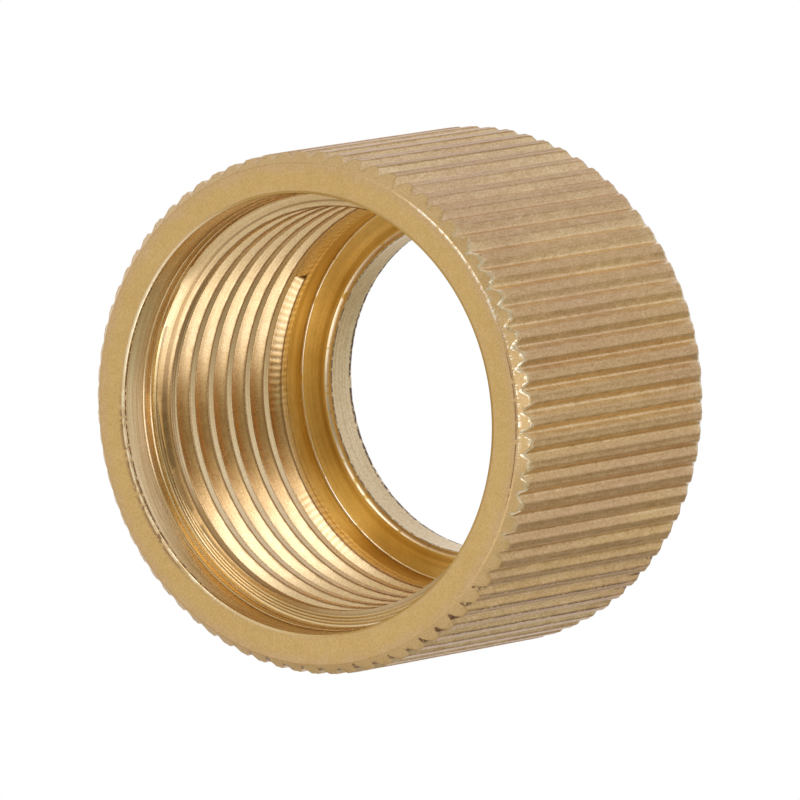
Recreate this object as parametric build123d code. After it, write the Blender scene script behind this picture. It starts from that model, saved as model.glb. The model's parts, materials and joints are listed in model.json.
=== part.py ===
from build123d import *
import math
import os

# Knurled coupling nut, turned from one brass bar. Millimetres, +Z up.
# The nut stands on the face of its inner lip, with the threaded mouth upwards.
# The origin is the centre of the face that it stands on.

# Outside of the nut
outside_diameter = 24.0
overall_length = 15.3
chamfer_radial = 0.52           # how far each end chamfer reaches in over the end face
chamfer_axial = 0.62            # how far each end chamfer reaches along the knurl

# Straight knurl: V grooves parallel to the axis, open at both ends
knurl_pitch = 1.0               # along the outside, from groove to groove
knurl_groove_width = 0.6        # across the top of one groove
knurl_groove_angle = 90.0       # between the two flanks of one groove

# Mouth: a plain counterbore that clears the mating thread
mouth_wall = 1.9                # from the mouth to the top of the knurl
mouth_depth = 2.3
mouth_clearance = 0.2           # mouth diameter over the thread diameter
mouth_edge_break = 0.06         # fine bevel on the sharp edge of the mouth

# Thread bore: bored at the tapping size, from the mouth to the lip
thread_pitch = 1.5

# Inner lip at the bottom, which bears on the collar of the mating part
lip_reach = 1.5                 # how far the lip stands in from the thread bore
lip_thickness = 2.0
lip_edge_break = 0.2            # bevel on the lip's edge inside the nut
back_edge_break = 0.06          # fine bevel on the lip's edge at the bottom face

# Worked out from the sizes above
outside_radius = outside_diameter / 2
mouth_radius = outside_radius - mouth_wall
thread_diameter = 2 * mouth_radius - mouth_clearance
tapping_radius = (thread_diameter - thread_pitch) / 2
lip_bore_radius = tapping_radius - lip_reach
mouth_floor_z = overall_length - mouth_depth
knurl_count = round(math.pi * outside_diameter / knurl_pitch)
groove_half_width = knurl_groove_width / 2
groove_depth = groove_half_width / math.tan(math.radians(knurl_groove_angle / 2))


def turned_blank():
    """The bar turned to size, with both ends chamfered and no bore yet."""
    half_section = Polyline(
        (0, 0),
        (outside_radius - chamfer_radial, 0),
        (outside_radius, chamfer_axial),
        (outside_radius, overall_length - chamfer_axial),
        (outside_radius - chamfer_radial, overall_length),
        (0, overall_length),
        close=True,
    )
    return revolve(Plane.XZ * make_face(half_section), Axis.Z)


def stepped_bore():
    """The space inside the nut: lip bore, thread bore and mouth, with their edge bevels."""
    half_section = Polyline(
        (0, 0),
        (lip_bore_radius + back_edge_break, 0),
        (lip_bore_radius, back_edge_break),
        (lip_bore_radius, lip_thickness - lip_edge_break),
        (lip_bore_radius + lip_edge_break, lip_thickness),
        (tapping_radius, lip_thickness),
        (tapping_radius, mouth_floor_z),
        (mouth_radius, mouth_floor_z),
        (mouth_radius, overall_length - mouth_edge_break),
        (mouth_radius + mouth_edge_break, overall_length),
        (0, overall_length),
        close=True,
    )
    return revolve(Plane.XZ * make_face(half_section), Axis.Z)


def knurl_groove_section():
    """One V groove in section. Its flanks carry on past the outside, so that it cuts clear."""
    flank_slope = groove_half_width / groove_depth
    overshoot = groove_depth
    top_half_width = groove_half_width + overshoot * flank_slope
    land_sag = outside_radius - math.sqrt(outside_radius**2 - groove_half_width**2)
    top_x = outside_radius - land_sag + overshoot
    root_x = outside_radius - land_sag - groove_depth
    return make_face(
        Polyline((root_x, 0), (top_x, top_half_width), (top_x, -top_half_width), close=True)
    )


def knurled_bar():
    """A bar with the straight knurl all round, as long as the nut."""
    section = Circle(outside_radius) - PolarLocations(0, knurl_count) * knurl_groove_section()
    return extrude(section, overall_length)


def knurled_nut():
    """The whole nut: the chamfers run out through the knurl, then the bore is cut."""
    return knurled_bar() & turned_blank() - stepped_bore()


nut = knurled_nut()
nut.label = "knurled_nut"
os.makedirs("parts", exist_ok=True)
export_step(nut, "parts/knurled_nut.step")
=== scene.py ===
import json
import math

import bmesh
import bpy
import numpy as np
from mathutils import Matrix, Vector


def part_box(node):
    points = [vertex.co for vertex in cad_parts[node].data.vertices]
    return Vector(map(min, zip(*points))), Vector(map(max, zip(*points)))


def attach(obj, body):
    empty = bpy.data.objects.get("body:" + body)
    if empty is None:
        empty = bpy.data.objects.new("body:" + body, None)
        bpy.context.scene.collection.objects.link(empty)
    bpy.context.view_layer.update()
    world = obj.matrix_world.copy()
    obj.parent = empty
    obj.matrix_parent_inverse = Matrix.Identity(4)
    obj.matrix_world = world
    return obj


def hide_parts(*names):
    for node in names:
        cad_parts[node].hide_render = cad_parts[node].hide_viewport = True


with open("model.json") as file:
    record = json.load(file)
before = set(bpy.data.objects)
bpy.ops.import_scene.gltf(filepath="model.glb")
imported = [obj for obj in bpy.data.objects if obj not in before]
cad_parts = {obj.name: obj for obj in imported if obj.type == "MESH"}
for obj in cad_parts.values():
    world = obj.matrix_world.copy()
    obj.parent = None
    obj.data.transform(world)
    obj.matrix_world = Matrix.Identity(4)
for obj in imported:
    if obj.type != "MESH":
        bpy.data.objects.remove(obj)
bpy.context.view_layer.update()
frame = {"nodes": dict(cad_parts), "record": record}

# ======================================================================================
# The bar
# The nut is turned from one round brass bar, and nothing is fitted to it afterwards.
# Its outside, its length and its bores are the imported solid's own sizes.
# ======================================================================================
mm = 0.001
packed_nut = frame["nodes"]["knurled_nut"]
outside_radius = max(corner.co.xy.length for corner in packed_nut.data.vertices)
overall_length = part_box("knurled_nut")[1].z
mounts = {mount["name"]: mount for mount in frame["record"]["mounts"]}
mouth_radius = mounts["mouth"]["dims"]["r_mm"] * mm
tapping_radius = mounts["thread_bore"]["dims"]["r_mm"] * mm
lip_bore_radius = mounts["lip_bore"]["dims"]["r_mm"] * mm
lip_seat_z = mounts["lip_seat"]["pos_m"][2]


# ======================================================================================
# The knurled outside
# A straight knurl rolled into the bar: 75 rounded V grooves, with pressed-up and slightly
# crowned lands between them. It was left matt and is a little dirty, and painted shade lies
# along its grooves on some sides of the nut.
# ======================================================================================
groove_count = 75
groove_angle = 2 * math.pi / groove_count
groove_half_width = 0.31 * mm
groove_depth = 0.27 * mm
groove_roundness = 1.35           # 1 would be a sharp V, 2 a parabola
edge_rounding = 0.11              # how softly a flank meets its land
land_crown = 0.024 * mm
knurl_step_count = 12

# Where the columns of the mesh lie across one groove, from its root to the middle of the land
column_offsets = np.array([0.0, 0.05, 0.11, 0.18, 0.25, 0.30, 0.345, 0.42]) * mm
half_pitch_arc = outside_radius * groove_angle / 2
other_flank = 2 * half_pitch_arc - column_offsets[:0:-1]
across_groove = np.concatenate([column_offsets, [half_pitch_arc], other_flank])
outer_columns = np.concatenate(
    [number * groove_angle + across_groove / outside_radius for number in range(groove_count)]
)

# Painted shade in lines along the grooves, on the sides of the nut where they lie in shadow:
# how far each line lies from a groove's root and how wide it is, how dark, and its side of the
# nut (from and to in degrees, with soft ends)
groove_shade_lines = (
    (0.36 * mm, 0.045 * mm, 0.44, (-64, 10, 16)),
    (-0.38 * mm, 0.06 * mm, 0.70, (176, 224, 18)),
    (0.0, 0.06 * mm, 0.30, (192, 218, 18)),
)

# No two grooves have quite the same depth, width and place
knurl_draw = np.random.default_rng(11)
depth_of_groove = 1 + 0.12 * knurl_draw.uniform(-1, 1, groove_count)
width_of_groove = 1 + 0.07 * knurl_draw.uniform(-1, 1, groove_count)
shift_of_groove = 0.022 * mm * knurl_draw.uniform(-1, 1, groove_count)


def ring_waves(angle, height, seed, waves, around):
    """Slow unevenness from -1 to 1 that closes on itself after one turn of the bar."""
    draw = np.random.default_rng(seed)
    total = np.zeros(np.broadcast(angle, height).shape)
    for _ in range(waves):
        turns = draw.integers(around[0], around[1] + 1)
        along = draw.uniform(-1.0, 1.0) / mm
        total = total + np.sin(turns * angle + along * height + draw.uniform(0, 2 * math.pi))
    return total / waves


def knurl_radius(angle, height):
    """Radius of the rolled surface at an angle and a height, before the chamfers are cut."""
    number = np.round(angle / groove_angle).astype(int)
    this = number % groove_count
    across = (angle - number * groove_angle) * outside_radius + shift_of_groove[this]
    across = across + 0.014 * mm * ring_waves(angle, height, 3, 5, (2, 9))
    half_width = groove_half_width * width_of_groove[this]
    share = 1 - (np.abs(across) / half_width) ** groove_roundness
    softened = 0.5 * (share + np.sqrt(share**2 + edge_rounding**2))
    depth = groove_depth * depth_of_groove[this] * softened
    beside_land = np.clip(1 - (half_pitch_arc - np.abs(across)) / (half_pitch_arc - half_width), 0, 1)
    land_wear = 0.010 * mm * (1 + ring_waves(angle, height, 5, 6, (11, 60)))
    return outside_radius - depth - land_wear - land_crown * beside_land**2


def on_side(angle, start, end, fade):
    """1 between two angles in degrees round the nut, and 0 beyond a soft end at each."""
    middle, half = (start + end) / 2, (end - start) / 2
    away = np.abs((np.degrees(angle) - middle + 180) % 360 - 180)
    return np.clip((half - away) / fade + 0.5, 0, 1)


# The nut is made of rings of corners. A ring has a radius and a height for each column, a mark
# that is worn metal and painted highlight above 0, and dirt and painted shade below 0, and the
# finish of the strip that leads to it.
def knurl_rings(upper_z, lower_z):
    """Rings of the rolled surface between the edges of its two chamfers, with painted shade along the
    grooves in places.
    """
    number = np.round(outer_columns / groove_angle)
    across = (outer_columns - number * groove_angle) * outside_radius
    groove_shade = np.zeros(len(outer_columns))
    for from_root, width, darkness, side in groove_shade_lines:
        line = np.clip(1.6 - np.abs(across - from_root) / width, 0, 1)
        groove_shade = groove_shade + darkness * line * on_side(outer_columns, *side)
    rings = []
    for step in np.linspace(0, 1, knurl_step_count + 1)[1:-1]:
        height = upper_z + step * (lower_z - upper_z)
        rings.append((knurl_radius(outer_columns, height), height, -groove_shade, "knurl"))
    return rings


def shade(tree, kind, inputs, **settings):
    """Adds a shader node, with a value or a link from another node for each named input."""
    made = tree.nodes.new("ShaderNode" + kind)
    for name, value in settings.items():
        setattr(made, name, value)
    for socket, value in inputs.items():
        if isinstance(value, bpy.types.NodeSocket):
            tree.links.new(value, made.inputs[socket])
        else:
            made.inputs[socket].default_value = value
    return made


def reckon(tree, operation, first, second=0.0):
    """One step of arithmetic between two node values."""
    return shade(tree, "Math", {0: first, 1: second}, operation=operation).outputs["Value"]


def times(tree, first, second):
    """The product of two node values."""
    return reckon(tree, "MULTIPLY", first, second)


def ramp(tree, value, low, high, to_low=0.0, to_high=1.0):
    """Turns a value between low and high smoothly into one between to_low and to_high."""
    ends = {"From Min": low, "From Max": high, "To Min": to_low, "To Max": to_high}
    step = shade(tree, "MapRange", {"Value": value, **ends}, interpolation_type="SMOOTHSTEP")
    return step.outputs["Result"]


def effect(name, takes, gives):
    """Starts a node group with named float inputs, each with its usual value, and outputs."""
    group = bpy.data.node_groups.new(name, "ShaderNodeTree")
    for socket, usual in takes.items():
        entry = group.interface.new_socket(socket, in_out="INPUT", socket_type="NodeSocketFloat")
        entry.default_value = usual
    for socket in gives:
        group.interface.new_socket(socket, in_out="OUTPUT", socket_type="NodeSocketFloat")
    start = group.nodes.new("NodeGroupInput")
    end = group.nodes.new("NodeGroupOutput")
    return group, start.outputs, end.inputs


def place_effect(tree, group, inputs):
    """Places an effect in a material with the material's own values."""
    return shade(tree, "Group", inputs, node_tree=group).outputs


def tint(tree, share, colour_a, colour_b, blend="MIX"):
    """Goes from one colour to another by a share from 0 to 1."""
    mix = shade(tree, "Mix", {"Factor": share}, data_type="RGBA", blend_type=blend)
    for socket, colour in ((mix.inputs[6], colour_a), (mix.inputs[7], colour_b)):
        if isinstance(colour, bpy.types.NodeSocket):
            tree.links.new(colour, socket)
        else:
            socket.default_value = (*colour, 1)
    return mix.outputs[2]


def toned(tree, colour, tone):
    """Makes a colour lighter and paler, or darker and yellower, by a value round zero."""
    levels = {
        part: shade(tree, "Math", {0: tone, 1: share, 2: 1.0}, operation="MULTIPLY_ADD").outputs["Value"]
        for part, share in (("Red", 0.75), ("Green", 1.0), ("Blue", 1.55))
    }
    level = shade(tree, "CombineColor", levels)
    return tint(tree, 1.0, colour, level.outputs["Color"], blend="MULTIPLY")


def varied(tree, colour, *changes):
    """Lets a colour follow values round zero, each by its own amount."""
    for value, amount in changes:
        colour = toned(tree, colour, times(tree, value, amount))
    return colour


def turned_from(tree, place, side):
    """How far a point lies round the nut from a side, which is given in degrees."""
    return reckon(tree, "ABSOLUTE", reckon(tree, "SUBTRACT", place["Angle"], math.radians(side)))


# Where a point lies on the nut: its radius and height in millimetres, and its angle
place_on_nut, _, nut_place = effect("place_on_nut", {}, ("Radius", "Height", "Angle"))
at = shade(place_on_nut, "TexCoord", {}).outputs["Object"]
parts = shade(place_on_nut, "SeparateXYZ", {"Vector": at}).outputs
flat = shade(place_on_nut, "VectorMath", {0: at, 1: (1 / mm, 1 / mm, 0)}, operation="MULTIPLY")
length = shade(place_on_nut, "VectorMath", {0: flat.outputs["Vector"]}, operation="LENGTH")
place_on_nut.links.new(length.outputs["Value"], nut_place["Radius"])
place_on_nut.links.new(reckon(place_on_nut, "DIVIDE", parts["Z"], mm), nut_place["Height"])
place_on_nut.links.new(reckon(place_on_nut, "ARCTAN2", parts["Y"], parts["X"]), nut_place["Angle"])

# Matt grain: fine speckle and slow mottling, both round zero, drawn out along the axis
matt_grain, grain_takes, grain_gives = effect(
    "matt_grain", {"Grain mm": 0.07, "Mottle mm": 0.6, "Drawn Out": 1.0, "Seed": 0.0}, ("Grain", "Mottle")
)
at = shade(matt_grain, "TexCoord", {}).outputs["Object"]
shrink = reckon(matt_grain, "DIVIDE", 1 / mm, grain_takes["Drawn Out"])
shape = shade(matt_grain, "CombineXYZ", {"X": 1 / mm, "Y": 1 / mm, "Z": shrink}).outputs["Vector"]
spot = shade(matt_grain, "VectorMath", {0: at, 1: shape}, operation="MULTIPLY").outputs["Vector"]
for output, size, detail in (("Grain", "Grain mm", 1.5), ("Mottle", "Mottle mm", 2.5)):
    scale = reckon(matt_grain, "DIVIDE", 1.0, grain_takes[size])
    field = shade(
        matt_grain, "TexNoise",
        {"Vector": spot, "Scale": scale, "Detail": detail, "W": grain_takes["Seed"]},
        noise_dimensions="4D",
    )
    centred = reckon(matt_grain, "SUBTRACT", field.outputs["Fac"], 0.5)
    matt_grain.links.new(times(matt_grain, centred, 2.0), grain_gives[output])

# Pits: small round hollows at random places, a share of them filled with dark residue
pits, pit_takes, pit_gives = effect(
    "pits", {"Spacing mm": 1.2, "Size mm": 0.06, "Share": 0.5, "Seed": 0.0}, ("Mask",)
)
per_mm = (1 / mm, 1 / mm, 1 / mm)
at = shade(pits, "TexCoord", {}).outputs["Object"]
spot = shade(pits, "VectorMath", {0: at, 1: per_mm}, operation="MULTIPLY").outputs["Vector"]
scale = reckon(pits, "DIVIDE", 1.0, pit_takes["Spacing mm"])
cells = shade(
    pits, "TexVoronoi", {"Vector": spot, "Scale": scale, "W": pit_takes["Seed"]}, voronoi_dimensions="4D"
)
from_middle = times(pits, cells.outputs["Distance"], pit_takes["Spacing mm"])
chance = shade(pits, "SeparateColor", {"Color": cells.outputs["Color"]}).outputs["Red"]
size = times(pits, pit_takes["Size mm"], reckon(pits, "ADD", chance, 0.5))
inside = reckon(pits, "SUBTRACT", 1.0, reckon(pits, "DIVIDE", from_middle, size))
filled = reckon(pits, "LESS_THAN", chance, pit_takes["Share"])
sharp = shade(pits, "MapRange", {"Value": inside, "From Max": 0.5}, interpolation_type="SMOOTHSTEP")
pits.links.new(times(pits, sharp.outputs["Result"], filled), pit_gives["Mask"])


def pitted(tree, colour, spacing, size, share, seed, strength, residue):
    """Gives a colour pits of a spacing and size in millimetres, a share of them dark."""
    takes = {"Spacing mm": spacing, "Size mm": size, "Share": share, "Seed": seed}
    mask = place_effect(tree, pits, takes)["Mask"]
    return tint(tree, times(tree, mask, strength), colour, residue)


# Edge marks in dabs of uneven length: rubbed bright with painted highlight where the mark is
# above 0, and dirty with painted shade where it is below 0
edge_wear_and_painted_lighting, edge_takes, edge_gives = effect(
    "edge_wear_and_painted_lighting", {"Dab mm": 0.25, "Cover": 0.5, "Seed": 0.0}, ("Bright", "Dark")
)
at = shade(edge_wear_and_painted_lighting, "TexCoord", {}).outputs["Object"]
spot = shade(edge_wear_and_painted_lighting, "VectorMath", {0: at, 1: per_mm}, operation="MULTIPLY").outputs["Vector"]
scale = reckon(edge_wear_and_painted_lighting, "DIVIDE", 1.0, edge_takes["Dab mm"])
field = shade(
    edge_wear_and_painted_lighting, "TexNoise",
    {"Vector": spot, "Scale": scale, "Detail": 2.0, "W": edge_takes["Seed"]},
    noise_dimensions="4D",
)
wear_and_painted_lighting = shade(edge_wear_and_painted_lighting, "Attribute", {}, attribute_name="wear_and_painted_lighting").outputs["Fac"]
missing = reckon(edge_wear_and_painted_lighting, "SUBTRACT", 0.5, edge_takes["Cover"])
missing = times(edge_wear_and_painted_lighting, missing, 0.3)
over = reckon(edge_wear_and_painted_lighting, "SUBTRACT", field.outputs["Fac"], missing)
dabs = ramp(edge_wear_and_painted_lighting, over, 0.46, 0.54)
for output, sign in (("Bright", 1.0), ("Dark", -1.0)):
    edge_wear_and_lighting = ramp(edge_wear_and_painted_lighting, times(edge_wear_and_painted_lighting, wear_and_painted_lighting, sign), 0.1, 0.8)
    edge_wear_and_painted_lighting.links.new(times(edge_wear_and_painted_lighting, edge_wear_and_lighting, dabs), edge_gives[output])


def start_finish(name):
    """Starts a material that has one metal shader, and gives its nodes and that shader."""
    material = bpy.data.materials.new(name)
    material.use_nodes = True
    tree = material.node_tree
    metal = tree.nodes["Principled BSDF"]
    metal.inputs["Metallic"].default_value = 1.0
    return material, tree, metal


def finish_metal(tree, metal, colour, roughness, height, depth):
    """Feeds the colour, the roughness and a bump of the given depth to the metal shader."""
    tree.links.new(colour, metal.inputs["Base Color"])
    tree.links.new(roughness, metal.inputs["Roughness"])
    bump = shade(tree, "Bump", {"Strength": 1.0, "Distance": depth, "Height": height})
    tree.links.new(bump.outputs["Normal"], metal.inputs["Normal"])


# Rolled brass: dull pinkish lands, yellower flanks and a painted highlight along each root. The
# flanks carry a paler painted sheen on two sides of the nut, and painted shade darkens the lands
# along its crown.
knurl_finish, tree, metal = start_finish("rolled_brass")
place = place_effect(tree, place_on_nut, {})
grain = place_effect(tree, matt_grain, {"Grain mm": 0.075, "Mottle mm": 0.30, "Drawn Out": 2.6})
slow = place_effect(tree, matt_grain, {"Grain mm": 0.16, "Mottle mm": 2.4, "Drawn Out": 3.0, "Seed": 4.0})
sink = reckon(tree, "SUBTRACT", outside_radius / mm, place["Radius"])
groove_share = reckon(tree, "DIVIDE", sink, groove_depth / mm)
uneven_share = reckon(tree, "ADD", groove_share, times(tree, grain["Mottle"], 0.10))
from_top = reckon(tree, "COSINE", reckon(tree, "ADD", place["Angle"], math.radians(40)))
from_bottom = reckon(tree, "COSINE", reckon(tree, "SUBTRACT", place["Angle"], math.radians(184)))
# Painted sheen: the flanks paler and brighter on two sides of the nut
painted_flank_sheen = ramp(tree, from_top, 0.72, 0.98, 0.0, 0.55)
painted_flank_sheen = reckon(tree, "MAXIMUM", painted_flank_sheen, ramp(tree, from_bottom, 0.84, 0.98))
flank_colour = tint(tree, painted_flank_sheen, (0.80, 0.565, 0.262), (0.94, 0.75, 0.46))
colour = tint(tree, ramp(tree, uneven_share, 0.08, 0.34), (0.70, 0.478, 0.228), flank_colour)
# Painted highlight: a bright line along each root
colour = tint(tree, ramp(tree, uneven_share, 0.80, 0.94), colour, (0.92, 0.69, 0.37))
colour = tint(tree, ramp(tree, slow["Mottle"], -0.25, 0.35, 0.0, 0.6), colour, (0.70, 0.47, 0.26))
# Painted shade: the lands darker along the crown of the nut
from_crown = reckon(tree, "COSINE", reckon(tree, "ADD", place["Angle"], math.radians(15)))
on_land = ramp(tree, uneven_share, 0.34, 0.08)
land_shade = times(tree, on_land, ramp(tree, from_crown, 0.92, 0.985, 0.0, -0.27))
colour = toned(tree, colour, land_shade)
colour = varied(tree, colour, (grain["Grain"], 0.40), (grain["Mottle"], 0.27))
colour = pitted(tree, colour, 0.8, 0.085, 0.20, 0.0, 0.8, (0.22, 0.13, 0.06))
# Edge marks: rubbed and dirty spots, with painted highlights and painted shade on some sides of the nut
edge_wear_and_lighting = place_effect(tree, edge_wear_and_painted_lighting, {"Dab mm": 0.21, "Cover": 0.72, "Seed": 2.0})
colour = tint(tree, edge_wear_and_lighting["Bright"], colour, (1.0, 0.85, 0.55))
colour = tint(tree, edge_wear_and_lighting["Dark"], colour, (0.28, 0.16, 0.08))
dullness = ramp(tree, grain["Mottle"], -0.6, 0.6, 0.33, 0.43)
dullness = reckon(tree, "SUBTRACT", dullness, times(tree, edge_wear_and_lighting["Bright"], 0.18))
relief = reckon(tree, "ADD", grain["Grain"], times(tree, grain["Mottle"], 3.0))
finish_metal(tree, metal, colour, dullness, relief, 0.003 * mm)

# ======================================================================================
# The end faces and their chamfers
# Each end was faced off square, and its edge turned to a chamfer that cuts through the
# knurl, so the chamfer ends in a zigzag. Fine blasting took the tool marks away.
# ======================================================================================
chamfer_radial = 0.52 * mm
chamfer_axial = 0.62 * mm
rim_radius = outside_radius - chamfer_radial
rim_width = 0.13 * mm
face_sink = 0.012 * mm            # the flat face lies this far under the burr at its rim
edge_width = 0.14 * mm            # the rubbed edge between the chamfer and the knurl

# Sides of the nut where the edges carry painted highlights and painted shade: from and to in
# degrees, and how soft their ends
lit_rim_side = (-80, -38, 12)
shaded_rim_side = (-118, -78, 6)
glinting_chamfer_side = (-110, -66, 6)
lit_zigzag_side = (-124, -52, 16)
shaded_zigzag_side = (150, 222, 10)


def chamfer_height(radius):
    """How far below the end face the chamfer cone has a given radius."""
    return chamfer_axial * (1 - (outside_radius - radius) / chamfer_radial)


def end_rings(face_z, inward, seed):
    """Rings from the rim of an end face, over its chamfer, to the start of the knurl."""
    angle = outer_columns
    rim_noise = 0.5 + 0.5 * ring_waves(angle, 0.0, seed, 9, (12, 110))
    knurl_at_end = knurl_radius(angle, face_z)
    edge_drop = chamfer_height(knurl_at_end) + 0.02 * mm * ring_waves(angle, 0.0, seed + 10, 7, (60, 290))
    lift = 0.5 + 0.5 * np.random.default_rng(seed + 2).uniform(0, 1, len(angle))
    outer_rim = rim_radius + 0.45 * rim_width
    # Painted highlight along the rim on one side of the nut, and a painted shade line on the next
    rim_painted_highlight = 0.75 * lift * on_side(angle, *lit_rim_side)
    rim_painted_shade = 0.75 * on_side(angle, *shaded_rim_side)
    # Painted glints in beads along the chamfer on one side
    beads = np.random.default_rng(seed + 3).uniform(0, 1, len(angle)) > 0.70
    chamfer_painted_glints = 0.8 * on_side(angle, *glinting_chamfer_side) * beads
    in_groove = np.clip((outside_radius - knurl_at_end) / groove_depth, 0, 1)
    rise = np.roll(knurl_at_end, -1) - np.roll(knurl_at_end, 1)
    facing_down = np.clip(rise / (0.08 * mm), 0, 1)
    # The zigzag edge: rubbed bright with painted highlight on one side, and painted shade at the groove
    # starts on the bottom side
    zigzag_wear_and_painted_lighting = on_side(angle, *lit_zigzag_side) * (0.45 + 0.55 * np.maximum(facing_down, in_groove > 0.7))
    zigzag_wear_and_painted_lighting = zigzag_wear_and_painted_lighting * (0.5 + 1.0 * lift)
    zigzag_wear_and_painted_lighting = zigzag_wear_and_painted_lighting - 1.3 * on_side(angle, *shaded_zigzag_side) * np.clip(3 * in_groove - 1.9, 0, 1)
    rings = [
        (rim_radius - rim_width, face_sink, 0.0, "face"),
        (rim_radius - 0.35 * rim_width, face_sink * (1 - 0.7 * rim_noise), rim_painted_highlight - rim_painted_shade, "face"),
        (rim_radius + 0.10 * rim_width, face_sink * (2 - 0.9 * rim_noise), rim_painted_highlight, "face"),
        (outer_rim, chamfer_height(outer_rim), chamfer_painted_glints, "face"),
    ]
    for share in (0.3, 0.6, 0.78):
        radius = outer_rim + share * (knurl_at_end - outer_rim)
        rings.append((radius, chamfer_height(radius), 0.0, "face"))
    rings += [
        (knurl_at_end - 0.15 * mm, edge_drop - 0.18 * mm, 0.8 * zigzag_wear_and_painted_lighting, "face"),
        (knurl_at_end - 0.012 * mm * lift, edge_drop - 0.01 * mm, zigzag_wear_and_painted_lighting, "face"),
        (knurl_at_end - 0.002 * mm, edge_drop + edge_width, np.clip(zigzag_wear_and_painted_lighting, -1, 0.3 * lift), "knurl"),
    ]
    return [(radius + 0 * angle, face_z + inward * (drop + 0 * angle), wear_and_painted_lighting, finish)
            for radius, drop, wear_and_painted_lighting, finish in rings]


# Blasted brass: an even matt yellow, a little browner and pinker close to the edges
face_finish, tree, metal = start_finish("blasted_brass")
place = place_effect(tree, place_on_nut, {})
grain = place_effect(tree, matt_grain, {"Grain mm": 0.07, "Mottle mm": 0.55, "Seed": 7.0})
slow = place_effect(tree, matt_grain, {"Grain mm": 0.2, "Mottle mm": 3.5, "Seed": 9.0})
near_rim = ramp(tree, place["Radius"], rim_radius / mm - 0.7, rim_radius / mm - 0.02)
near_mouth = ramp(tree, place["Radius"], mouth_radius / mm + 0.4, mouth_radius / mm)
near_edge = reckon(tree, "MAXIMUM", near_rim, near_mouth)
patchy = reckon(tree, "ADD", near_edge, times(tree, grain["Mottle"], 0.9))
colour = tint(tree, ramp(tree, patchy, 0.1, 1.2, 0.0, 0.8), (0.72, 0.482, 0.172), (0.69, 0.465, 0.215))
on_chamfer = ramp(tree, place["Radius"], rim_radius / mm + 0.02, rim_radius / mm + 0.06)
colour = tint(tree, on_chamfer, colour, (0.78, 0.55, 0.25))
colour = varied(tree, colour, (grain["Grain"], 0.30), (grain["Mottle"], 0.10), (slow["Mottle"], 0.08))
colour = pitted(tree, colour, 1.6, 0.05, 0.25, 3.0, 0.5, (0.30, 0.19, 0.08))
# Edge marks: rubbed and dirty spots, with painted highlights and painted shade along the rim and the
# zigzag on some sides
edge_wear_and_lighting = place_effect(tree, edge_wear_and_painted_lighting, {"Dab mm": 0.21, "Cover": 0.74, "Seed": 2.0})
colour = tint(tree, edge_wear_and_lighting["Bright"], colour, (1.0, 0.88, 0.62))
colour = tint(tree, edge_wear_and_lighting["Dark"], colour, (0.28, 0.15, 0.08))
dullness = ramp(tree, grain["Mottle"], -0.6, 0.6, 0.40, 0.50)
dullness = reckon(tree, "SUBTRACT", dullness, times(tree, edge_wear_and_lighting["Bright"], 0.22))
relief = reckon(tree, "ADD", grain["Grain"], grain["Mottle"])
finish_metal(tree, metal, colour, dullness, relief, 0.003 * mm)

# ======================================================================================
# The mouth
# A counterbore turned to a flat floor, with two fine steps low in its wall. The floor keeps
# the facing tool's rings, and a ragged burr was left where the bore breaks the blasted face.
# ======================================================================================
inner_count = 300
mouth_edge = 0.06 * mm
mouth_floor_z = 13.0 * mm
ring_pitch = 0.14 * mm
ring_height = 0.035 * mm
floor_outer = mouth_radius - 0.15 * mm
ringed_floor = floor_outer - 3.4 * ring_pitch
# Sides of the nut where the mouth's edge has a painted highlight, and where painted shade lies in dabs
# along it
lit_mouth_side = (42, 142, 20)   # sides of the nut, as for the zigzag
shaded_mouth_side = (76, 132, 18)

# The steps in the mouth's wall: depth, how far the wall already stands in, and the step.
# Each has a ring in its middle and one close above and below, which keep its slope crisp.
wall_steps = ((1.50 * mm, 0.0, 0.07 * mm), (1.98 * mm, 0.07 * mm, 0.05 * mm))
step_rings = ((0.0, -0.02 * mm), (0.0, 0.0), (0.5, 0.0), (1.0, 0.0), (1.0, 0.02 * mm))

# The thread below ends at this angle, and its columns are shared by all of the bore
thread_end_angle = math.radians(48.0)
thread_end_step = math.radians(0.25)
inner_columns = thread_end_angle + 2 * math.pi * np.arange(inner_count) / inner_count
inner_columns[1] = thread_end_angle + thread_end_step


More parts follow.
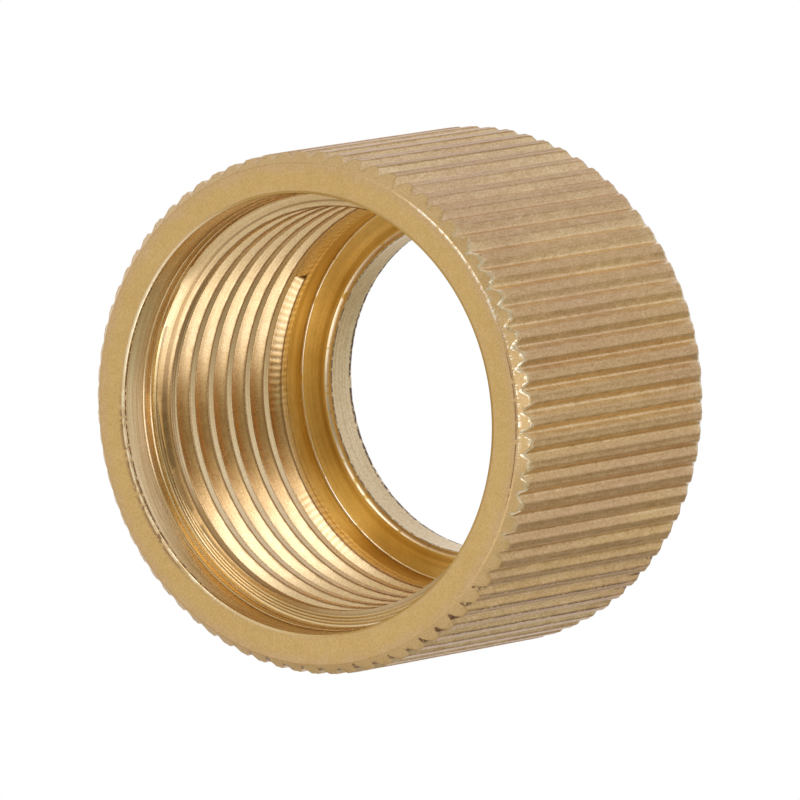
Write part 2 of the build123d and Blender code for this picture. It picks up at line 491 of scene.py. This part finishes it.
def mouth_rings():
    """Rings from the face, over the mouth's edge and down its wall."""
    burr = 0.5 + 0.5 * ring_waves(inner_columns, 0.0, 41, 9, (9, 90))
    bright = on_side(inner_columns, *lit_mouth_side)
    dark = on_side(inner_columns, *shaded_mouth_side)
    # Painted shade in dabs along the bright edge and just outside it, and a painted shade line just below
    # the edge on its bright side
    shaded_dabs = (ring_waves(inner_columns, 0.0, 43, 5, (20, 120)) > 0.1) * dark
    top = overall_length
    stepped = []
    for depth, reached, step in wall_steps:
        for share, down in step_rings:
            radius = mouth_radius - reached - share * step
            stepped.append((radius, top - depth - down - share * step, 0.0, "bored"))
    return [
        (mouth_radius + 0.45 * mm, top - face_sink, 0.0, "face"),
        (mouth_radius + 3.2 * mouth_edge, top - face_sink, -0.6 * dark, "face"),
        (mouth_radius + 2.2 * mouth_edge, top - face_sink, 0.4 * bright - shaded_dabs, "face"),
        (mouth_radius + 1.5 * mouth_edge, top - face_sink * (1 - 0.8 * burr),
         bright - 1.6 * shaded_dabs, "bored"),
        (mouth_radius + 0.3 * mouth_edge, top - face_sink * (1 - 0.4 * burr),
         bright - 1.2 * shaded_dabs, "bored"),
        (mouth_radius, top - 0.04 * mm, bright - 1.2 * shaded_dabs, "bored"),
        (mouth_radius, top - 0.08 * mm, -0.9 * bright, "bored"),
        (mouth_radius, top - 0.13 * mm, -0.9 * bright, "bored"),
        (mouth_radius, top - 0.20 * mm, 0.0, "bored"),
        (mouth_radius, top - 0.7 * mm, 0.0, "bored"),
        *stepped,
        (mouth_radius - 0.12 * mm, top - 2.27 * mm, 0.0, "bored"),
    ]


def floor_rings():
    """Concentric tool rings on the floor, cut off where the thread starts through it."""
    rings = []
    thread_edge = bore_radius(inner_columns, mouth_floor_z)
    for radius in np.arange(floor_outer, tapping_radius, -ring_pitch / 4):
        clamped = np.maximum(radius, thread_edge)
        wave = (0.5 + 0.5 * np.cos(2 * math.pi * (floor_outer - clamped) / ring_pitch)) ** 6
        fade = np.clip((clamped - thread_edge) / (0.06 * mm), 0, 1) * (clamped > ringed_floor)
        rings.append((clamped, mouth_floor_z + ring_height * wave * fade, 0.0, "bored"))
    return rings


# Tool lines: fine turning marks across a coordinate, each fading in and out round the nut
tool_lines, line_takes, line_gives = effect(
    "tool_lines", {"Across mm": 0.0, "Pitch mm": 0.1, "Run mm": 6.0}, ("Line",)
)
at = shade(tool_lines, "TexCoord", {}).outputs["Object"]
parts = shade(tool_lines, "SeparateXYZ", {"Vector": at}).outputs
run = times(tool_lines, line_takes["Run mm"], mm)
spot = shade(tool_lines, "CombineXYZ", {
    "X": reckon(tool_lines, "DIVIDE", line_takes["Across mm"], line_takes["Pitch mm"]),
    "Y": reckon(tool_lines, "DIVIDE", parts["X"], run),
    "Z": reckon(tool_lines, "DIVIDE", parts["Y"], run),
}).outputs["Vector"]
field = shade(tool_lines, "TexNoise", {"Vector": spot, "Scale": 1.0, "Detail": 2.0})
centred = reckon(tool_lines, "SUBTRACT", field.outputs["Fac"], 0.5)
tool_lines.links.new(times(tool_lines, centred, 2.0), line_gives["Line"])


def lines_across(tree, across, pitch, run):
    """Tool lines with their pitch, and how far each runs round the nut, in millimetres."""
    return place_effect(tree, tool_lines, {"Across mm": across, "Pitch mm": pitch, "Run mm": run})["Line"]


# Bored brass: bright turned metal with fine lines round it, greyer close to the mouth, painted
# shade along the mouth's edge away from the light, a painted gold reflection on one side of the
# wall, and painted brown shade between the floor's rings and on the floor inside them
bored_finish, tree, metal = start_finish("bored_brass")
place = place_effect(tree, place_on_nut, {})
grain = place_effect(tree, matt_grain, {"Grain mm": 0.06, "Mottle mm": 0.5, "Seed": 12.0})
along = reckon(tree, "ADD", place["Height"], place["Radius"])
fine = lines_across(tree, along, 0.07, 5.0)
broad = lines_across(tree, along, 0.45, 9.0)
grey_zone = ramp(tree, place["Height"], overall_length / mm - 1.5, overall_length / mm - 1.1)
colour = tint(tree, grey_zone, (0.92, 0.73, 0.41), (0.87, 0.66, 0.36))
from_burr = turned_from(tree, place, 92)
on_edge = ramp(tree, place["Height"], overall_length / mm - 0.07, overall_length / mm - 0.05)
edge_shade = times(tree, on_edge, ramp(tree, from_burr, 1.0, 1.5, 0.0, -0.45))
colour = toned(tree, colour, edge_shade)
# Painted reflection: deeper gold on one side of the wall
from_gold_reflection = turned_from(tree, place, 150)
colour = tint(tree, ramp(tree, from_gold_reflection, 0.7, 0.3, 0.0, 0.55), colour, (0.72, 0.50, 0.19))
# Painted shade: brown between the floor's rings and on the floor inside them
on_floor = ramp(tree, place["Height"], mouth_floor_z / mm + 0.10, mouth_floor_z / mm + 0.05)
from_wall = reckon(tree, "SUBTRACT", floor_outer / mm, place["Radius"])
ring_turns = reckon(tree, "DIVIDE", from_wall, ring_pitch / mm)
ring_wave = reckon(tree, "COSINE", times(tree, ring_turns, 2 * math.pi))
inner_floor_shade = ramp(tree, place["Radius"], ringed_floor / mm + 0.02, ringed_floor / mm - 0.02, 0.0, 0.85)
valley_shade = reckon(tree, "MAXIMUM", ramp(tree, ring_wave, 0.5, -0.6, 0.0, 0.85), inner_floor_shade)
valley_shade = times(tree, valley_shade, on_floor)
colour = tint(tree, valley_shade, colour, (0.46, 0.29, 0.11))
colour = varied(tree, colour, (fine, 0.45), (broad, 0.50), (grain["Grain"], 0.30))
colour = pitted(tree, colour, 1.3, 0.07, 0.15, 5.0, 0.85, (0.16, 0.09, 0.04))
# Edge marks: rubbed and dirty spots, with a painted highlight and painted shade at the mouth's edge
edge_wear_and_lighting = place_effect(tree, edge_wear_and_painted_lighting, {"Dab mm": 0.16, "Cover": 0.62, "Seed": 5.0})
colour = tint(tree, edge_wear_and_lighting["Bright"], colour, (1.0, 0.84, 0.50))
colour = tint(tree, edge_wear_and_lighting["Dark"], colour, (0.20, 0.11, 0.05))
dullness = ramp(tree, grain["Mottle"], -0.6, 0.6, 0.22, 0.28)
relief = reckon(tree, "ADD", fine, times(tree, broad, 2.0))
finish_metal(tree, metal, colour, dullness, relief, 0.003 * mm)

# ======================================================================================
# The thread
# M20 x 1.5, cut by a single point tool that climbed from the tail to the mouth's floor.
# It stopped dead at its lower end, where the tool chattered on the last turn.
# ======================================================================================
thread_pitch = 1.5 * mm
thread_depth = 0.75 * mm
thread_root_flat = 0.19 * mm
thread_flank_run = thread_depth * math.tan(math.radians(30))
thread_opening = thread_root_flat + 2 * thread_flank_run
thread_end_z = 3.564 * mm
tail_top_z = 3.2 * mm
corner_width = 0.03 * mm
ripples_per_radian = 180.0

# Heights inside one pitch, from the lower corner of the groove up to the next one
thread_steps = np.array([
    0.0, corner_width, 0.5 * thread_flank_run, thread_flank_run - corner_width,
    thread_flank_run + corner_width, thread_flank_run + thread_root_flat - corner_width,
    thread_flank_run + thread_root_flat + corner_width, thread_opening - corner_width,
    thread_opening, thread_opening + corner_width,
    (thread_opening + thread_pitch) / 2, thread_pitch - corner_width,
])


def bore_radius(angle, height):
    """Radius of the threaded bore at an angle and a height."""
    past_end = angle - thread_end_angle
    turns = (height - thread_end_z) / thread_pitch - past_end / (2 * math.pi) + 1e-9
    whole = np.floor(turns)
    within = (turns - whole) * thread_pitch
    lower = within / thread_flank_run
    upper = (thread_opening - within) / thread_flank_run
    share = np.clip(np.minimum(np.minimum(lower, upper), 1.0), 0.0, 1.0)
    started = (whole > 0) | ((whole == 0) & (past_end > 0.5 * thread_end_step))
    return tapping_radius + np.where(started, thread_depth * share, 0.0)


def thread_rings():
    """Rings that climb with the thread, from its tail to the floor of the mouth."""
    rings = []
    turns_below = -2
    turns_above = math.ceil((mouth_floor_z - thread_end_z) / thread_pitch)
    climb = (inner_columns - thread_end_angle) / (2 * math.pi) * thread_pitch
    for turn in range(turns_below, turns_above):
        for step in thread_steps:
            height = np.clip(thread_end_z + turn * thread_pitch + step + climb, tail_top_z, mouth_floor_z)
            rings.append((bore_radius(inner_columns, height), height, 0.0, "thread"))
    rings.append((bore_radius(inner_columns, mouth_floor_z), mouth_floor_z, 0.0, "thread"))
    return rings


# Threaded brass: polished by the tool, with streaks that repeat on every turn, a warmer painted
# reflection down one side, painted shade along the crest corners, a first crest painted darker
# as a reflection and scored, and chatter on the last flank
thread_finish, tree, metal = start_finish("threaded_brass")
place = place_effect(tree, place_on_nut, {})
grain = place_effect(tree, matt_grain, {"Grain mm": 0.07, "Mottle mm": 0.5, "Seed": 15.0})
climbed = reckon(tree, "DIVIDE", place["Angle"], 2 * math.pi)
turns = reckon(tree, "SUBTRACT", reckon(tree, "DIVIDE", place["Height"], thread_pitch / mm), climbed)
start_turns = thread_end_z / thread_pitch - thread_end_angle / (2 * math.pi)
turns = reckon(tree, "SUBTRACT", turns, start_turns)
within = times(tree, reckon(tree, "FRACT", turns), thread_pitch / mm)
fine = lines_across(tree, within, 0.05, 4.0)
broad = lines_across(tree, within, 0.16, 7.0)
on_crest = ramp(tree, place["Radius"], tapping_radius / mm + 0.06, tapping_radius / mm + 0.02)
# Painted reflection: warmer and darker down the side where the thread lies in shade
from_dark_band = turned_from(tree, place, 93)
warm_shade_share = ramp(tree, from_dark_band, math.radians(30), math.radians(8), 0.0, 0.75)
flank_colour = tint(tree, warm_shade_share, (0.88, 0.65, 0.33), (0.97, 0.58, 0.19))
crest_colour = tint(tree, warm_shade_share, (0.94, 0.72, 0.42), (0.84, 0.66, 0.34))
colour = tint(tree, on_crest, flank_colour, crest_colour)
# Painted reflection: the first crest under the floor darker brown on part of the bore
by_floor = ramp(tree, place["Height"], mouth_floor_z / mm - 1.0, mouth_floor_z / mm - 0.9)
by_crest = ramp(tree, place["Radius"], tapping_radius / mm + 0.42, tapping_radius / mm + 0.32)
first_crest_reflection = times(tree, by_floor, by_crest)
first_crest_reflection = times(tree, first_crest_reflection, ramp(tree, place["Angle"], 1.7, 2.0))
colour = tint(tree, first_crest_reflection, colour, (0.56, 0.35, 0.12))
scored = lines_across(tree, within, 0.11, 40.0)
scored = times(tree, ramp(tree, scored, 0.03, 0.16, 0.0, 0.8), by_floor)
colour = tint(tree, scored, colour, (0.44, 0.27, 0.11))
# Painted shade along the corners of the crests
to_upper = reckon(tree, "ABSOLUTE", reckon(tree, "SUBTRACT", within, thread_opening / mm))
to_lower = reckon(tree, "MINIMUM", within, reckon(tree, "SUBTRACT", thread_pitch / mm, within))
to_corner = reckon(tree, "MINIMUM", to_upper, to_lower)
to_corner = reckon(tree, "SUBTRACT", to_corner, times(tree, grain["Mottle"], 0.03))
colour = tint(tree, ramp(tree, to_corner, 0.055, 0.02, 0.0, 0.8), colour, (0.42, 0.26, 0.11))
colour = varied(tree, colour, (fine, 0.25), (broad, 0.18), (grain["Grain"], 0.30))
colour = pitted(tree, colour, 1.1, 0.05, 0.25, 8.0, 0.6, (0.30, 0.18, 0.08))
on_last_flank = ramp(tree, turns, thread_flank_run / thread_pitch + 0.02, thread_flank_run / thread_pitch)
ripple = reckon(tree, "SINE", times(tree, place["Angle"], ripples_per_radian))
ripple = reckon(tree, "ADD", ripple, times(tree, grain["Mottle"], 2.0))
near_end = ramp(tree, place["Angle"], math.radians(92), math.radians(86))
once_more = ramp(tree, place["Angle"], math.radians(112), math.radians(116))
where = reckon(tree, "MAXIMUM", near_end, once_more)
still_there = ramp(tree, place["Angle"], math.radians(138), math.radians(132))
where = times(tree, where, still_there)
chatter = times(tree, times(tree, ripple, where), on_last_flank)
colour = varied(tree, colour, (chatter, 0.15))
dullness = ramp(tree, grain["Mottle"], -0.6, 0.6, 0.24, 0.30)
relief = reckon(tree, "ADD", fine, times(tree, broad, 1.5))
relief = reckon(tree, "ADD", relief, times(tree, chatter, 0.9))
finish_metal(tree, metal, colour, dullness, relief, 0.002 * mm)

# ======================================================================================
# The tail of the bore, the shoulder and the lip
# Below the thread the tapping bore runs plain to a small recess in the corner of the
# shoulder. The lip's bore was drilled, its inner edge bevelled, its back edge left ragged.
# ======================================================================================
lip_edge = 0.2 * mm
dark_band_radius = 8.22 * mm          # a dark ring on the shoulder

# Painted light and painted shade on sides of the bore: middle and half width in degrees, and the tone
painted_bore_light = ((46, 16, -0.13), (88, 14, 0.10), (146, 20, -0.34))


def tail_rings():
    """Rings from below the thread, over the shoulder and the lip, to the standing face."""
    ragged = 0.5 + 0.5 * ring_waves(inner_columns, 0.0, 51, 12, (7, 120))
    edge_radius, edge_z = lip_bore_radius + lip_edge, lip_seat_z - lip_edge
    rings = [(tapping_radius, tail_top_z, 0.0, "tail")]
    # How far each stands out from the corner and above the shoulder, in millimetres, and its wear and
    # painted lighting
    rings += [(tapping_radius + out * mm, lip_seat_z + up * mm, wear_and_painted_lighting, "tail") for out, up, wear_and_painted_lighting in (
        (0.0, 0.6, 0.0), (0.0, 0.22, 0.0), (0.0, 0.17, -0.6), (0.0, 0.12, 0.0), (-0.01, 0.06, 0.9),
        (-0.04, 0.015, 0.9), (-0.08, 0.0, 0.0), (-0.5, 0.0, 0.0), (-0.54, -0.008, 0.0),
    )]
    rings += [(edge_radius + out * mm, lip_seat_z + up * mm, wear_and_painted_lighting, "tail") for out, up, wear_and_painted_lighting in (
        (0.24, -0.008, 0.0), (0.20, 0.0, 0.0), (0.06, 0.0, 0.0), (0.0, -0.01, 0.5),
    )]
    return rings + [
        (lip_bore_radius + 0.09 * mm, lip_seat_z - 0.55 * lip_edge, 0.5, "tail"),
        (lip_bore_radius + 0.02 * mm, edge_z, -0.3, "tail"),
        (lip_bore_radius, edge_z - 0.04 * mm, -0.6, "lip"),
        (lip_bore_radius, edge_z - 0.09 * mm, -0.6, "lip"),
        (lip_bore_radius, edge_z - 0.14 * mm, 0.0, "lip"),
        (lip_bore_radius, 1.10 * mm, 0.0, "lip"),
        (lip_bore_radius - 0.01 * mm, 1.04 * mm, 0.0, "lip"),
        (lip_bore_radius - 0.01 * mm, 0.38 * mm, 0.0, "lip"),
        (lip_bore_radius - 0.01 * mm, 0.26 * mm, -1.0, "lip"),
        (lip_bore_radius + 0.02 * mm * ragged, 0.10 * mm + 0.06 * mm * ragged, -1.0, "lip"),
        (lip_bore_radius + 0.03 * mm + 0.08 * mm * ragged, 0.02 * mm, -1.0, "lip"),
        (lip_bore_radius + 0.16 * mm + 0.08 * mm * ragged, 0.0, -0.1, "face"),
        (lip_bore_radius + 0.9 * mm, 0.0, 0.0, "face"),
        (rim_radius - 0.4 * mm, 0.0, 0.0, "face"),
    ]


# Plain bored brass: a smooth satin gold that shows itself in its own reflection, with a painted
# highlight on one side of the wall, painted light and shade on other sides, and a darker ring
# on the shoulder
tail_finish, tree, metal = start_finish("satin_brass")
place = place_effect(tree, place_on_nut, {})
grain = place_effect(tree, matt_grain, {"Grain mm": 0.09, "Mottle mm": 0.7, "Seed": 21.0})
along = reckon(tree, "ADD", place["Height"], place["Radius"])
fine = lines_across(tree, along, 0.09, 6.0)
broad = lines_across(tree, along, 0.5, 12.0)
colour = tint(tree, ramp(tree, broad, -0.4, 0.4), (0.82, 0.575, 0.20), (0.88, 0.64, 0.25))
on_shoulder = ramp(tree, place["Height"], lip_seat_z / mm + 0.03, lip_seat_z / mm + 0.01)
colour = tint(tree, on_shoulder, colour, (0.86, 0.59, 0.17))
# Painted highlight: one side of the wall lit brighter
from_light = turned_from(tree, place, 118)
lit_side = ramp(tree, from_light, math.radians(16), math.radians(4), 0.0, 0.8)
on_wall = ramp(tree, place["Radius"], tapping_radius / mm - 0.15, tapping_radius / mm - 0.08)
colour = tint(tree, times(tree, lit_side, on_wall), colour, (1.0, 0.80, 0.40))
for middle, half_width, tone in painted_bore_light:
    away = turned_from(tree, place, middle)
    painted_side_light = ramp(tree, away, math.radians(half_width), math.radians(half_width / 3), 0.0, tone)
    colour = toned(tree, colour, painted_side_light)
colour = varied(
    tree, colour, (broad, 0.30), (fine, 0.24), (grain["Grain"], 0.16), (grain["Mottle"], 0.16),
)
colour = pitted(tree, colour, 1.0, 0.07, 0.3, 11.0, 0.7, (0.24, 0.13, 0.04))
# A darker ring on the shoulder
from_dark_band = reckon(tree, "ABSOLUTE", reckon(tree, "SUBTRACT", place["Radius"], dark_band_radius / mm))
colour = varied(tree, colour, (ramp(tree, from_dark_band, 0.16, 0.08), -0.22))
# Edge marks: rubbed and dirty spots, with painted highlights on the corner and the bevel, and painted
# shade in the recess
edge_wear_and_lighting = place_effect(tree, edge_wear_and_painted_lighting, {"Dab mm": 0.45, "Cover": 0.85, "Seed": 6.0})
colour = tint(tree, edge_wear_and_lighting["Bright"], colour, (1.0, 0.90, 0.66))
colour = tint(tree, edge_wear_and_lighting["Dark"], colour, (0.30, 0.17, 0.05))
dullness = ramp(tree, grain["Mottle"], -0.6, 0.6, 0.40, 0.46)
dullness = reckon(tree, "SUBTRACT", dullness, times(tree, edge_wear_and_lighting["Bright"], 0.20))
relief = reckon(tree, "ADD", fine, times(tree, broad, 2.0))
finish_metal(tree, metal, colour, dullness, relief, 0.003 * mm)

# Lip brass: matt, and painted paler than the rest to stand for the brighter light in the lip's
# bore, with a faint ring where the drill paused
lip_finish, tree, metal = start_finish("drilled_brass")
place = place_effect(tree, place_on_nut, {})
grain = place_effect(
    tree, matt_grain, {"Grain mm": 0.08, "Mottle mm": 0.5, "Drawn Out": 1.5, "Seed": 25.0}
)
fine = lines_across(tree, place["Height"], 0.12, 6.0)
colour = tint(tree, ramp(tree, grain["Mottle"], -0.4, 0.4), (0.90, 0.74, 0.46), (0.96, 0.79, 0.51))
colour = varied(tree, colour, (fine, 0.30), (grain["Grain"], 0.34))
# Edge marks: dark dabs below the bevel and along the ragged back edge, partly dirt and partly painted
# shade
edge_wear_and_lighting = place_effect(tree, edge_wear_and_painted_lighting, {"Dab mm": 0.17, "Cover": 0.64, "Seed": 13.0})
colour = tint(tree, edge_wear_and_lighting["Dark"], colour, (0.16, 0.09, 0.05))
colour = tint(tree, edge_wear_and_lighting["Bright"], colour, (1.0, 0.86, 0.62))
dullness = ramp(tree, grain["Mottle"], -0.6, 0.6, 0.42, 0.50)
relief = reckon(tree, "ADD", fine, grain["Grain"])
finish_metal(tree, metal, colour, dullness, relief, 0.003 * mm)

# ======================================================================================
# The finished nut
# One closed surface: the outside rings joined one to the next, the bore's rings joined
# with a helical seam in the thread, and a flat fan between the two on each end face.
# ======================================================================================
finishes = {
    "face": face_finish, "knurl": knurl_finish, "bored": bored_finish,
    "thread": thread_finish, "tail": tail_finish, "lip": lip_finish,
}
corners = []
wear_and_lighting_marks = []
faces = []
face_finishes = []


def add_ring(columns, radius, height, wear_and_painted_lighting):
    """Adds one ring of corners and gives the number of its first corner."""
    first = sum(len(earlier) for earlier in corners)
    x, y = radius * np.cos(columns), radius * np.sin(columns)
    corners.append(np.stack([x, y, height + 0 * columns], axis=1))
    wear_and_lighting_marks.append(wear_and_painted_lighting + 0 * columns)
    return first


def add_face(corner_numbers, finish):
    """Adds one face and notes its finish."""
    faces.append(corner_numbers)
    face_finishes.append(list(finishes).index(finish))


def bridge(upper, lower, count, finish):
    """Joins two rings of the same columns, seen from outside the metal with upper on top."""
    for column in range(count):
        after = (column + 1) % count
        add_face((upper + column, lower + column, lower + after, upper + after), finish)


def fan(outer, inner, finish, facing_up):
    """Joins a ring of the outside to a ring of the bore, which has a quarter of its corners."""
    ratio = len(outer_columns) // inner_count
    lead = round(thread_end_angle / (2 * math.pi) * len(outer_columns))
    for column in range(inner_count):
        after = (column + 1) % inner_count
        arc = [outer + (lead + ratio * column + step) % len(outer_columns) for step in range(ratio + 1)]
        loop = (inner + column, *arc, inner + after)
        add_face(loop if facing_up else loop[::-1], finish)


top_rings = end_rings(overall_length, -1, 21)
bottom_rings = end_rings(0.0, 1, 22)
outside = top_rings + knurl_rings(top_rings[-1][1], bottom_rings[-1][1])
outside = outside + [
    (*ring[:3], finish)
    for ring, finish in zip(bottom_rings[::-1], ["knurl"] * 2 + ["face"] * (len(bottom_rings) - 2))
]
outer_firsts = []
for radius, height, wear_and_painted_lighting, finish in outside:
    outer_firsts.append(add_ring(outer_columns, radius, height, wear_and_painted_lighting))
    if len(outer_firsts) > 1:
        bridge(outer_firsts[-2], outer_firsts[-1], len(outer_columns), finish)

previous = None
for radius, height, wear_and_painted_lighting, finish in mouth_rings() + floor_rings():
    ring = add_ring(inner_columns, radius, height, wear_and_painted_lighting)
    if previous is None:
        fan(outer_firsts[0], ring, "face", facing_up=True)
    else:
        bridge(ring, previous, inner_count, finish)
    previous = ring

# The thread's last column meets its first one a whole pitch further up
thread_firsts = [add_ring(inner_columns, *ring[:3]) for ring in thread_rings()]
bridge(thread_firsts[-1], previous, inner_count, "bored")
last = len(thread_firsts) - 1
for row in range(last):
    for column in range(inner_count - 1):
        low, high = thread_firsts[row] + column, thread_firsts[row + 1] + column
        add_face((low, high, high + 1, low + 1), "thread")
for row in range(-len(thread_steps), last):
    low, high = (thread_firsts[min(max(step, 0), last)] + inner_count - 1 for step in (row, row + 1))
    beyond = [min(max(step + len(thread_steps), 0), last) for step in (row, row + 1)]
    add_face((low, high, thread_firsts[beyond[1]], thread_firsts[beyond[0]]), "thread")

previous = thread_firsts[0]
for radius, height, wear_and_painted_lighting, finish in tail_rings():
    ring = add_ring(inner_columns, radius, height, wear_and_painted_lighting)
    bridge(ring, previous, inner_count, finish)
    previous = ring
fan(outer_firsts[-1], previous, "face", facing_up=False)

mesh = bpy.data.meshes.new("knurled_nut_finished")
mesh.from_pydata(np.concatenate(corners).tolist(), [], faces)
mesh.polygons.foreach_set("material_index", face_finishes)
# The rings' marks: worn and dirty spots, with painted highlights and painted shade
wear_and_painted_lighting = mesh.attributes.new("wear_and_painted_lighting", "FLOAT", "POINT")
wear_and_painted_lighting.data.foreach_set("value", np.concatenate(wear_and_lighting_marks).astype(np.float32))
for finish in finishes.values():
    mesh.materials.append(finish)

# Corners that fall together at the ends of the thread are joined
form = bmesh.new()
form.from_mesh(mesh)
bmesh.ops.remove_doubles(form, verts=form.verts, dist=1e-8)
bmesh.ops.dissolve_degenerate(form, edges=form.edges, dist=1e-8)
bmesh.ops.recalc_face_normals(form, faces=form.faces)
form.to_mesh(mesh)
form.free()
mesh.polygons.foreach_set("use_smooth", [True] * len(mesh.polygons))
mesh.set_sharp_from_angle(angle=math.radians(70))

nut = bpy.data.objects.new("knurled_nut_finished", mesh)
bpy.context.scene.collection.objects.link(nut)
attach(nut, "root")
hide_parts("knurled_nut")

# ======================================================================================
# The studio
# The nut stands on its far end on a pale floor inside a white light tent. Three softboxes
# stand round the camera, which looks down into the mouth and is rolled onto its side.
# ======================================================================================
scene = bpy.context.scene
camera_azimuth = math.radians(-88.62)
camera_elevation = math.radians(55.71)
camera_roll = math.radians(-99.51)
camera_distance = 73.436 * outside_radius
camera_to_right = 0.35498         # in outside radii, like the next
camera_to_up = 0.05398
lens_mm = 870.16
lamp_colour = (0.97, 1.0, 1.24)
even_grey = 0.45                  # how bright the tent is away from its patches
back = Vector((
    math.cos(camera_azimuth) * math.cos(camera_elevation),
    math.sin(camera_azimuth) * math.cos(camera_elevation),
    math.sin(camera_elevation),
))
level_right = Vector((0, 0, 1)).cross(back).normalized()
level_up = back.cross(level_right)
right = math.cos(camera_roll) * level_right + math.sin(camera_roll) * level_up
up = back.cross(right)

camera_data = bpy.data.cameras.new("camera")
camera_data.sensor_width = 36.0
camera_data.lens = lens_mm
camera_data.clip_start = 0.01
camera_data.clip_end = 5.0
camera = bpy.data.objects.new("camera", camera_data)
scene.collection.objects.link(camera)
scene.camera = camera
mouth_centre = Vector((0, 0, overall_length))
camera_shift = outside_radius * (camera_to_right * right + camera_to_up * up)
camera_place = mouth_centre + camera_distance * back + camera_shift
camera.matrix_world = Matrix.Translation(camera_place) @ Matrix((right, up, back)).transposed().to_4x4()

aim = Vector((0, 0, overall_length / 2))


def softbox(name, to_right, to_up, to_back, distance, width, height, brightness):
    """A soft light, placed as seen from the camera and turned to face the nut."""
    light = bpy.data.lights.new(name, "AREA")
    light.shape = "RECTANGLE"
    light.size = width
    light.size_y = height
    light.energy = brightness * math.pi * width * height
    light.color = lamp_colour
    lamp = bpy.data.objects.new(name, light)
    scene.collection.objects.link(lamp)
    toward = (to_right * right + to_up * up + to_back * back).normalized()
    side = up.cross(toward).normalized()
    rise = toward.cross(side)
    lamp.matrix_world = (
        Matrix.Translation(aim + distance * toward) @ Matrix((side, rise, toward)).transposed().to_4x4()
    )


softbox("top_softbox", -0.34, 0.485, 0.80, 0.5, 0.36, 0.20, 1.7)
softbox("low_softbox", -0.16, -0.50, 0.86, 0.5, 0.36, 0.24, 1.3)
softbox("right_softbox", 0.62, 0.0, 0.80, 0.5, 0.22, 0.30, 1.4)

floor_mesh = bpy.data.meshes.new("floor")
reach = 3.0
floor_z = -0.01 * mm              # just clear of the nut's far face, so the two don't coincide
floor_corners = [(-reach, -reach), (reach, -reach), (reach, reach), (-reach, reach)]
floor_mesh.from_pydata([(x, y, floor_z) for x, y in floor_corners], [], [(0, 1, 2, 3)])
floor = bpy.data.objects.new("floor", floor_mesh)
scene.collection.objects.link(floor)
floor_paint = bpy.data.materials.new("floor_paint")
floor_paint.use_nodes = True
tree = floor_paint.node_tree
tree.nodes.clear()
output = tree.nodes.new("ShaderNodeOutputMaterial")
glow = tree.nodes.new("ShaderNodeEmission")
clear = tree.nodes.new("ShaderNodeBsdfTransparent")
choice = tree.nodes.new("ShaderNodeMixShader")
path = tree.nodes.new("ShaderNodeLightPath")
side = tree.nodes.new("ShaderNodeNewGeometry")
seen = reckon(tree, "SUBTRACT", path.outputs["Is Camera Ray"], side.outputs["Backfacing"])
tree.links.new(seen, choice.inputs["Fac"])
tree.links.new(clear.outputs["BSDF"], choice.inputs[1])
tree.links.new(glow.outputs["Emission"], choice.inputs[2])
tree.links.new(choice.outputs["Shader"], output.inputs["Surface"])
floor_mesh.materials.append(floor_paint)

# The light tent: an even grey with soft patches where its walls are lit or shaded
world = bpy.data.worlds.new("light_tent")
scene.world = world
world.use_nodes = True
tent = world.node_tree
tent_shader = tent.nodes["Background"]
ray = tent.nodes.new("ShaderNodeTexCoord")


def tent_patch(level_so_far, to_right, to_up, to_back, brightness, inner, outer):
    """Adds a soft round patch of light or shade to the tent, placed as seen from the camera."""
    toward = (to_right * right + to_up * up + to_back * back).normalized()
    look = {0: ray.outputs["Generated"], 1: toward}
    nearness = shade(tent, "VectorMath", look, operation="DOT_PRODUCT").outputs["Value"]
    edge, core = math.cos(math.radians(outer)), math.cos(math.radians(inner))
    first_level = even_grey if level_so_far is None else 0.0
    patch = ramp(tent, nearness, edge, core, first_level, first_level + brightness)
    return patch if level_so_far is None else reckon(tent, "ADD", level_so_far, patch)


tent_level = None
for patch in (
    (0.00, 0.00, -1.00, 0.55, 12, 44),       # backdrop straight behind the nut
    (0.49, 0.63, -0.60, 0.20, 20, 58),       # upper right wall
    (0.92, 0.05, -0.40, 0.12, 8, 45),        # right wall
    (0.71, -0.42, -0.56, -0.19, 7, 26),      # lower right corner, in shade
    (-0.92, -0.15, 0.37, 0.34, 25, 60),      # left wall
    (-0.20, 0.95, 0.05, 0.22, 15, 45),       # roof
    (0.10, -0.95, 0.10, 0.20, 15, 45),       # ground in front of the nut
    (-0.50, 0.35, -0.75, 0.25, 15, 45),      # back left corner
    (-0.15, 0.00, 0.99, -0.30, 12, 36),      # the dark opening for the camera
):
    tent_level = tent_patch(tent_level, *patch)
# Its shaded parts look warmer than the lit ones
tent_colour = tint(tent, ramp(tent, tent_level, 0.10, 0.95), (1.06, 0.92, 0.62), (0.98, 1.0, 1.16))
tent.links.new(tent_colour, tent_shader.inputs["Color"])
tent.links.new(tent_level, tent_shader.inputs["Strength"])

scene.view_settings.view_transform = "Standard"
